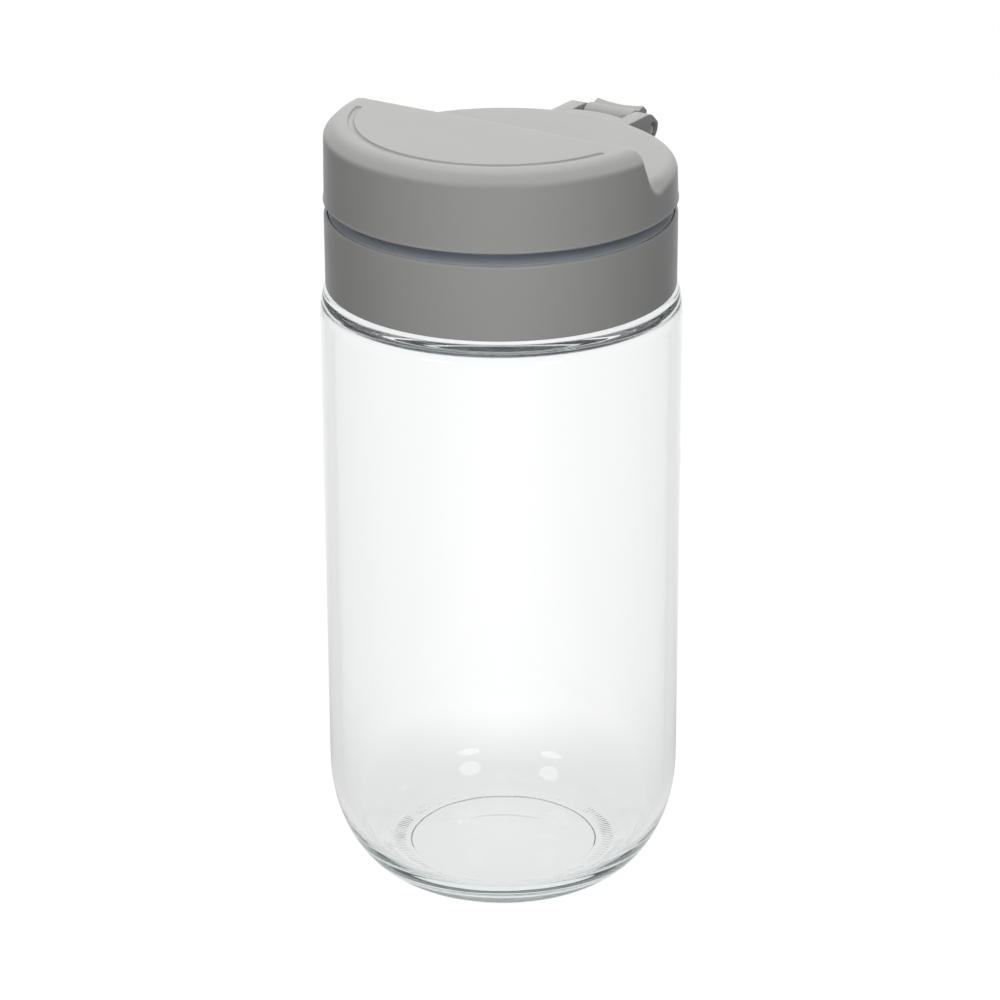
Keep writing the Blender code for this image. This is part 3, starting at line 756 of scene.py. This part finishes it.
def cover_shell_mesh():
    shell = cover_skin_mesh()
    for side in (-1, 1):
        ear = prism_along_x(ear_outline(), side * EAR_INNER_X, side * EAR_OUTER_X, EAR_BEVEL)
        shell = combined(shell, ear, "UNION")
    bridge = sections_along_x(
        (EAR_INNER_X + EAR_OUTER_X) / 2, lambda share: bridge_outline(BRIDGE_BOW * share**2)
    )
    shell = combined(shell, loft_along_x(bridge), "UNION")
    hole = cylinder_along_x(PIN_Y, PIN_Z, PIN_RADIUS + PIN_FIT, 16 * MM)
    shell = combined(shell, hole, "DIFFERENCE")
    for side in (-1, 1):
        # The pin's ends sit in shallow bores
        bore = cylinder_along_x(PIN_Y, PIN_Z, PIN_RADIUS + PIN_BORE_GAP, PIN_BORE_DEPTH)
        bmesh.ops.translate(bore, verts=bore.verts, vec=(side * EAR_OUTER_X, 0, 0))
        shell = combined(shell, bore, "DIFFERENCE")
    shell = combined(shell, groove_tool(), "DIFFERENCE")
    for side in (-1, 1):
        shell = combined(shell, groove_end(side), "DIFFERENCE")
    return shell


def cover_liner_mesh():
    """Disc that closes the cover from below, with the plug that carries the seal."""
    groove_top = SEAL_TOP + SEAL_GAP
    groove_bottom = SEAL_BOTTOM - SEAL_GAP
    foot = groove_bottom - PLUG_LEDGE
    return spin_outline([(0, COVER_LINER_TOP)] + rounded([
        (COVER_LINER_EDGE - DISC_MARGIN, COVER_LINER_TOP, 0),
        (COVER_LINER_EDGE, COVER_LINER_TOP, SMALL_ROUND),
        (COVER_LINER_EDGE, COVER_LINER_Z, DISC_EDGE_ROUND),
        (PLUG_FLANGE, COVER_LINER_Z, DISC_EDGE_ROUND),
        (PLUG_FLANGE, groove_top, GROOVE_EDGE_ROUND),
        (PLUG_OUTER, groove_top, 0),
        (PLUG_OUTER, groove_bottom, 0),
        (PLUG_FLANGE, groove_bottom, GROOVE_EDGE_ROUND),
        (PLUG_FLANGE, foot, DISC_EDGE_ROUND),
        (PLUG_INNER, foot, DISC_EDGE_ROUND),
        (PLUG_INNER, COVER_LINER_Z, PLUG_ROOT_ROUND),
        (PLUG_INNER - DISC_MARGIN, COVER_LINER_Z, 0),
    ]) + [(0, COVER_LINER_Z)])


def cover_seal_mesh():
    """Ring with two soft lips round its outside."""
    middle = (SEAL_TOP + SEAL_BOTTOM) / 2
    waist = SEAL_OUTER - SEAL_LIP_REACH
    return spin_outline(rounded([
        (SEAL_INNER, SEAL_TOP, 0),
        (waist, SEAL_TOP, SMALL_ROUND),
        (SEAL_OUTER, SEAL_TOP - SEAL_LIP_SET, SEAL_LIP_ROUND),
        (waist, middle, SMALL_ROUND),
        (SEAL_OUTER, SEAL_BOTTOM + SEAL_LIP_SET, SEAL_LIP_ROUND),
        (waist, SEAL_BOTTOM, SMALL_ROUND),
        (SEAL_INNER, SEAL_BOTTOM, 0),
    ])[1:])


def hinge_pin_mesh():
    """Ground rod with domed ends."""
    sections = []
    for end in (-1, 1):
        for index in range(PIN_DOME_STEPS + 1):
            turn = math.pi / 2 * (index if end < 0 else PIN_DOME_STEPS - index) / PIN_DOME_STEPS
            radius = PIN_RADIUS - PIN_DOME * (1 - math.sin(turn))
            x = end * (PIN_HALF_LENGTH - PIN_DOME * (1 - math.cos(turn)) * PIN_DOME_FLATNESS)
            spokes = [math.tau * spoke / PIN_SEGMENTS for spoke in range(PIN_SEGMENTS)]
            sections.append((x, [polar((PIN_Y, PIN_Z), radius, spoke) for spoke in spokes]))
    return loft_along_x(sections)


# Materials


def linear(code):
    """Linear RGBA from an sRGB hex colour."""
    values = [int(code[place:place + 2], 16) / 255 for place in (0, 2, 4)]
    return tuple(v / 12.92 if v <= 0.04045 else ((v + 0.055) / 1.055) ** 2.4 for v in values) + (1.0,)


def add_node(tree, kind, inputs, **settings):
    """A node with its settings, and each input set to a value or linked to a socket."""
    made = tree.nodes.new(kind)
    for name, value in settings.items():
        setattr(made, name, value)
    for name, value in inputs.items():
        if isinstance(value, bpy.types.NodeSocket):
            tree.links.new(value, made.inputs[name])
        else:
            made.inputs[name].default_value = value
    return made


def new_material(name):
    """A material with a bare Principled shader. Returns it with its tree, shader and Object coordinates."""
    material = bpy.data.materials.new(name)
    material.use_nodes = True
    tree = material.node_tree
    shader = tree.nodes["Principled BSDF"]
    place = add_node(tree, "ShaderNodeTexCoord", {})
    return material, tree, shader, place.outputs["Object"]


def clear_glass():
    """Soda-lime glass, blown in a mould."""
    material, tree, shader, place = new_material("soda_lime_glass")
    shader.inputs["Base Color"].default_value = linear("FFFFFF")
    shader.inputs["Roughness"].default_value = 0.0
    shader.inputs["IOR"].default_value = 1.52
    shader.inputs["Transmission Weight"].default_value = 1.0
    # Slow waves a centimetre or two long, which make the reflections wander
    waves = add_node(tree, "ShaderNodeTexNoise", {"Vector": place, "Scale": 70.0, "Detail": 1.0})
    wavy = add_node(tree, "ShaderNodeBump", {
        "Height": waves.outputs["Fac"], "Distance": 0.06 * MM, "Strength": 1.0,
    })
    # Knurling marks on the ring round the foot, about 1 mm apart
    axes = add_node(tree, "ShaderNodeSeparateXYZ", {"Vector": place})
    across, along, height = axes.outputs["X"], axes.outputs["Y"], axes.outputs["Z"]
    turn = add_node(tree, "ShaderNodeMath", {0: along, 1: across}, operation="ARCTAN2")
    spokes = add_node(tree, "ShaderNodeMath", {0: turn.outputs[0], 1: KNURL_COUNT}, operation="MULTIPLY")
    marks = add_node(tree, "ShaderNodeMath", {0: spokes.outputs[0]}, operation="SINE")
    flat = add_node(tree, "ShaderNodeCombineXYZ", {"X": across, "Y": along})
    reach = add_node(tree, "ShaderNodeVectorMath", {0: flat.outputs[0]}, operation="LENGTH")
    off_ring = add_node(tree, "ShaderNodeMath", {
        0: reach.outputs["Value"], 1: KNURL_RADIUS,
    }, operation="SUBTRACT")
    off_ring = add_node(tree, "ShaderNodeMath", {0: off_ring.outputs[0]}, operation="ABSOLUTE")
    ring = add_node(tree, "ShaderNodeMapRange", {
        "Value": off_ring.outputs[0], "From Min": KNURL_FULL, "From Max": KNURL_END,
        "To Min": 1.0, "To Max": 0.0,
    })
    low = add_node(tree, "ShaderNodeMath", {0: height, 1: KNURL_TOP}, operation="LESS_THAN")
    where = add_node(tree, "ShaderNodeMath", {0: ring.outputs[0], 1: low.outputs[0]}, operation="MULTIPLY")
    knurls = add_node(tree, "ShaderNodeMath", {
        0: marks.outputs[0], 1: where.outputs[0],
    }, operation="MULTIPLY")
    # Use has rubbed the marks down in patches a few millimetres across
    rubbed = add_node(tree, "ShaderNodeTexNoise", {"Vector": place, "Scale": 180.0, "Detail": 2.0})
    kept = add_node(tree, "ShaderNodeMapRange", {
        "Value": rubbed.outputs["Fac"], "From Min": 0.4, "From Max": 0.62, "To Min": 0.45, "To Max": 1.0,
    })
    knurls = add_node(tree, "ShaderNodeMath", {
        0: knurls.outputs[0], 1: kept.outputs[0],
    }, operation="MULTIPLY")
    both = add_node(tree, "ShaderNodeBump", {
        "Height": knurls.outputs[0], "Distance": KNURL_DEPTH, "Strength": 1.0, "Normal": wavy.outputs[0],
    })
    tree.links.new(both.outputs[0], shader.inputs["Normal"])
    # The iron in the glass, seen as a faint green where it is thick
    tint = add_node(tree, "ShaderNodeVolumeAbsorption", {"Color": linear("E7FFFD"), "Density": 4.5})
    output = next(one for one in tree.nodes if one.type == "OUTPUT_MATERIAL")
    tree.links.new(tint.outputs[0], output.inputs["Volume"])
    return material


def moulded_plastic(name, light, dark, roughness, ior, grain_height):
    """Injection-moulded polypropylene with the fine texture of a spark-eroded mould."""
    material, tree, shader, place = new_material(name)
    shader.inputs["IOR"].default_value = ior
    # Faint clouds a few centimetres across, as pigment shows in a moulding
    clouds = add_node(tree, "ShaderNodeTexNoise", {"Vector": place, "Scale": 45.0, "Detail": 3.0})
    colour = add_node(tree, "ShaderNodeMix", {
        "Factor": clouds.outputs["Fac"], "A": linear(dark), "B": linear(light),
    }, data_type="RGBA")
    tree.links.new(colour.outputs["Result"], shader.inputs["Base Color"])
    # Handling polishes some patches a little
    wear = add_node(tree, "ShaderNodeTexNoise", {"Vector": place, "Scale": 110.0, "Detail": 4.0})
    gloss = add_node(tree, "ShaderNodeMapRange", {
        "Value": wear.outputs["Fac"], "To Min": roughness - 0.05, "To Max": roughness + 0.05,
    })
    tree.links.new(gloss.outputs[0], shader.inputs["Roughness"])
    # Mould grain of about 0.4 mm
    grain = add_node(tree, "ShaderNodeTexNoise", {"Vector": place, "Scale": 2500.0, "Detail": 2.0})
    bump = add_node(tree, "ShaderNodeBump", {
        "Height": grain.outputs["Fac"], "Distance": grain_height, "Strength": 1.0,
    })
    tree.links.new(bump.outputs[0], shader.inputs["Normal"])
    return material, shader


def grey_plastic():
    """Grey polypropylene, satin moulded."""
    return moulded_plastic("grey_polypropylene", "A8A8A7", "A4A4A3", 0.34, 1.49, 0.012 * MM)[0]


def natural_plastic():
    """Natural polypropylene: milky and slightly blue, light goes a little way into it."""
    material, shader = moulded_plastic("natural_polypropylene", "CAD0D8", "C4CAD3", 0.36, 1.49, 0.006 * MM)
    shader.inputs["Subsurface Weight"].default_value = 0.35
    shader.inputs["Subsurface Radius"].default_value = (1.0, 1.1, 1.3)
    shader.inputs["Subsurface Scale"].default_value = 0.8 * MM
    return material


def silicone():
    """Clear silicone rubber, dull from its mould."""
    material, shader = moulded_plastic("silicone_rubber", "D2D6D8", "CBD0D3", 0.5, 1.41, 0.01 * MM)
    shader.inputs["Subsurface Weight"].default_value = 0.4
    shader.inputs["Subsurface Radius"].default_value = (1.0, 1.0, 1.0)
    shader.inputs["Subsurface Scale"].default_value = 1.0 * MM
    return material


def steel():
    """Stainless steel rod, ground round and cut to length."""
    material, tree, shader, place = new_material("stainless_steel")
    shader.inputs["Metallic"].default_value = 1.0
    shader.inputs["Base Color"].default_value = linear("C9CACB")
    # Grinding marks run round the rod, so the noise is squeezed along it
    squeeze = add_node(tree, "ShaderNodeMapping", {"Vector": place, "Scale": (6000.0, 300.0, 300.0)})
    marks = add_node(tree, "ShaderNodeTexNoise", {"Vector": squeeze.outputs[0], "Scale": 1.0, "Detail": 3.0})
    gloss = add_node(tree, "ShaderNodeMapRange", {
        "Value": marks.outputs["Fac"], "To Min": 0.16, "To Max": 0.3,
    })
    tree.links.new(gloss.outputs[0], shader.inputs["Roughness"])
    bump = add_node(tree, "ShaderNodeBump", {"Height": marks.outputs["Fac"], "Distance": 0.004 * MM})
    tree.links.new(bump.outputs[0], shader.inputs["Normal"])
    return material


# Studio

# Brightness of the surroundings at (degrees from straight behind the jar, level) stops
LIGHTING = [(0, 1.0), (27, 1.0), (40, 0.4), (55, 0.08), (80, 0.03), (180, 0.03)]
MIRRORED = [(0, 1.0), (20, 0.9), (40, 0.4), (90, 0.25), (130, 0.3), (180, 0.9)]
THROUGH_GLASS = [(0, 1.0), (20, 0.96), (50, 0.78), (90, 0.62), (130, 0.66), (180, 0.95)]
FLOOR_THROUGH_GLASS = [
    (0, 1.0), (5, 1.0), (10, 0.985), (18, 0.955), (28, 0.92), (50, 0.82), (90, 0.68), (130, 0.7), (180, 0.97)
]
# Painted shade on the floor close to the jar, seen through glass and in mirrors, and the reach over which it
# fades out
NEAR_JAR_PAINTED_SHADE = 0.79
PAINTED_SHADE_REACH = (40 * MM, 95 * MM)
FLOOR_GLOW = 1.24

JAR_MIDDLE = 0.12
EYE = Vector((0.47625, -0.7343, 0.4742))
TARGET = Vector((-0.00045, -0.0003, 0.1005))
ROLL = math.radians(-0.25)


def camera_axes():
    """Right, up and ahead as the camera has them."""
    ahead = (TARGET - EYE).normalized()
    right = ahead.cross(Vector((0, 0, 1))).normalized()
    up = right.cross(ahead)
    turned_right = right * math.cos(ROLL) + up * math.sin(ROLL)
    turned_up = -right * math.sin(ROLL) + up * math.cos(ROLL)
    return turned_right, turned_up, ahead


def add_camera():
    data = bpy.data.cameras.new("camera")
    data.lens = 135.1
    data.sensor_width = 36.0
    data.clip_start = 0.01
    obj = bpy.data.objects.new("camera", data)
    bpy.context.scene.collection.objects.link(obj)
    right, up, ahead = camera_axes()
    turn = Matrix((right, up, -ahead)).transposed().to_4x4()
    obj.matrix_world = Matrix.Translation(EYE) @ turn
    bpy.context.scene.camera = obj


def around_jar(azimuth, elevation, distance):
    """A place at this many degrees round the jar from the camera's side, and up from the jar's middle."""
    turn = math.atan2(EYE.y, EYE.x) + math.radians(azimuth)
    level = distance * math.cos(math.radians(elevation))
    rise = distance * math.sin(math.radians(elevation))
    return Vector((level * math.cos(turn), level * math.sin(turn), JAR_MIDDLE + rise))


def add_softbox(name, place, target, width, height, power, mirrored):
    data = bpy.data.lights.new(name, "AREA")
    data.shape = "ELLIPSE"
    data.size = width
    data.size_y = height
    data.energy = power
    obj = bpy.data.objects.new(name, data)
    obj.location = place
    obj.rotation_euler = (Vector(target) - Vector(place)).to_track_quat("-Z", "Y").to_euler()
    obj.visible_glossy = mirrored
    obj.visible_transmission = mirrored
    bpy.context.scene.collection.objects.link(obj)


def seen_rays(tree, rays):
    """1 for camera, mirror and glass rays, which see the white surroundings."""
    total = add_node(tree, "ShaderNodeMath", {
        0: rays["Is Camera Ray"], 1: rays["Is Glossy Ray"],
    }, operation="ADD")
    return add_node(tree, "ShaderNodeMath", {
        0: total.outputs[0], 1: rays["Is Transmission Ray"],
    }, operation="ADD", use_clamp=True).outputs[0]


def surround_level(tree, direction, stops):
    """Brightness by the angle from straight behind the jar, as the camera sees it."""
    ahead = camera_axes()[2]
    behind = Vector((ahead.x, ahead.y, 0)).normalized()
    facing = add_node(tree, "ShaderNodeVectorMath", {
        0: direction, 1: tuple(behind),
    }, operation="DOT_PRODUCT")
    angle = add_node(tree, "ShaderNodeMath", {0: facing.outputs["Value"]}, operation="ARCCOSINE")
    half_turn = add_node(tree, "ShaderNodeMath", {0: angle.outputs[0], 1: math.pi}, operation="DIVIDE")
    ramp = add_node(tree, "ShaderNodeValToRGB", {"Fac": half_turn.outputs[0]})
    elements = ramp.color_ramp.elements
    for degrees, level in stops[1:-1]:
        elements.new(degrees / 180).color = (level, level, level, 1)
    for index in (0, -1):
        elements[index].color = (stops[index][1],) * 3 + (1,)
    return ramp.outputs["Color"]


def shown_level(tree, rays, in_mirrors, through_glass):
    """One level in mirrors and another through glass."""
    return add_node(tree, "ShaderNodeMix", {
        "Factor": rays["Is Transmission Ray"], "A": in_mirrors, "B": through_glass,
    }, data_type="RGBA").outputs["Result"]


def white_to_camera(tree, rays, level):
    return add_node(tree, "ShaderNodeMath", {
        0: level, 1: rays["Is Camera Ray"],
    }, operation="MAXIMUM").outputs[0]


def add_world():
    """A white studio.

    It is dark to what it lights from the front and sides, paler in mirrors and glass, and white to
    the camera."""
    world = bpy.data.worlds.new("studio")
    bpy.context.scene.world = world
    world.use_nodes = True
    tree = world.node_tree
    background = tree.nodes["Background"]
    rays = add_node(tree, "ShaderNodeLightPath", {}).outputs
    direction = add_node(tree, "ShaderNodeTexCoord", {}).outputs["Generated"]
    lighting, mirrored, through_glass = (
        surround_level(tree, direction, stops) for stops in (LIGHTING, MIRRORED, THROUGH_GLASS)
    )
    shown = white_to_camera(tree, rays, shown_level(tree, rays, mirrored, through_glass))
    level = add_node(tree, "ShaderNodeMix", {
        "Factor": seen_rays(tree, rays), "A": lighting, "B": shown,
    }, data_type="RGBA")
    tree.links.new(level.outputs["Result"], background.inputs["Strength"])
    background.inputs["Color"].default_value = linear("FFFFFF")


def add_floor():
    """White sweep, lit from within so that only a trace of the shadow shows.

    Through glass and in mirrors it is white behind the jar and greyer to the sides, and close to the jar it
    carries a painted shade."""
    bm = bmesh.new()
    bmesh.ops.create_grid(bm, x_segments=1, y_segments=1, size=3.0)
    mesh = bpy.data.meshes.new("floor")
    bm.to_mesh(mesh)
    bm.free()
    obj = bpy.data.objects.new("floor", mesh)
    obj.location.z = -0.05 * MM
    bpy.context.scene.collection.objects.link(obj)
    material, tree, shader, place = new_material("white_floor")
    shader.inputs["Base Color"].default_value = linear("6C6C6C")
    shader.inputs["Roughness"].default_value = 0.9
    rays = add_node(tree, "ShaderNodeLightPath", {}).outputs
    direction = add_node(tree, "ShaderNodeVectorMath", {0: place}, operation="NORMALIZE").outputs[0]
    mirrored, through_glass = (
        surround_level(tree, direction, stops) for stops in (MIRRORED, FLOOR_THROUGH_GLASS)
    )
    around = shown_level(tree, rays, mirrored, through_glass)
    # Painted shade: through glass and in mirrors the floor turns grey close to the jar
    reach = add_node(tree, "ShaderNodeVectorMath", {0: place}, operation="LENGTH")
    farness = add_node(tree, "ShaderNodeMapRange", {
        "Value": reach.outputs["Value"], "From Min": PAINTED_SHADE_REACH[0], "From Max": PAINTED_SHADE_REACH[1],
    }, interpolation_type="SMOOTHSTEP")
    level = add_node(tree, "ShaderNodeMix", {
        "Factor": farness.outputs[0], "A": (NEAR_JAR_PAINTED_SHADE,) * 3 + (1,), "B": around,
    }, data_type="RGBA")
    level = white_to_camera(tree, rays, level.outputs["Result"])
    # The glow and a fifth of the lit surface together give a little over 1
    strength = add_node(tree, "ShaderNodeMath", {0: level, 1: FLOOR_GLOW}, operation="MULTIPLY")
    glow = add_node(tree, "ShaderNodeEmission", {"Color": linear("FFFFFF"), "Strength": strength.outputs[0]})
    bright = add_node(tree, "ShaderNodeMixShader", {0: 0.2, 1: glow.outputs[0], 2: shader.outputs[0]})
    shown = add_node(tree, "ShaderNodeMixShader", {
        0: seen_rays(tree, rays), 1: shader.outputs[0], 2: bright.outputs[0],
    })
    output = next(one for one in tree.nodes if one.type == "OUTPUT_MATERIAL")
    tree.links.new(shown.outputs[0], output.inputs["Surface"])
    mesh.materials.append(material)


def add_lamps():
    """A softbox over the jar, two windows that mirror in the bowl, and two fills from the front."""
    cover_top = (0, 0, 0.19)
    add_softbox(
        "top", around_jar(180, 70, 1.15), cover_top, width=0.8, height=0.6, power=12.6, mirrored=False
    )
    middle = (0, 0, JAR_MIDDLE)
    for name, azimuth in (("window_right", 33), ("window_left", -47)):
        window = around_jar(azimuth, 40, 1.06)
        add_softbox(name, window, middle, width=0.3, height=0.24, power=0.5, mirrored=True)
    for side in (-1, 1):
        fill = around_jar(23 * side - 2, 22, 1.06)
        add_softbox(f"fill_{side:+d}", fill, middle, width=0.4, height=0.7, power=3.35, mirrored=False)


def build_pieces():
    glass, grey, natural, rubber, metal = (
        clear_glass(), grey_plastic(), natural_plastic(), silicone(), steel()
    )
    add_piece("glass_body", jar_mesh(), glass, "jar", "glass_jar")
    add_piece("collar_ring", collar_shell_mesh(), grey, "collar", "collar_shell")
    add_piece("collar_lining", collar_liner_mesh(), natural, "collar", "collar_liner")
    add_piece("cover_cap", cover_shell_mesh(), grey, "cover", "cover_shell")
    add_piece("cover_lining", cover_liner_mesh(), natural, "cover", "cover_liner")
    add_piece("cover_gasket", cover_seal_mesh(), rubber, "cover", "cover_seal")
    add_piece("pin", hinge_pin_mesh(), metal, "cover", "hinge_pin")
    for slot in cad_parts["jar_gasket"].material_slots:
        slot.material = rubber


def main():
    scene = bpy.context.scene
    scene.view_settings.view_transform = "Standard"
    # Light turns many times inside the thick foot of the glass before it leaves
    scene.cycles.max_bounces = 32
    scene.cycles.glossy_bounces = 24
    scene.cycles.transmission_bounces = 32
    build_pieces()
    add_camera()
    add_world()
    add_floor()
    add_lamps()


main()
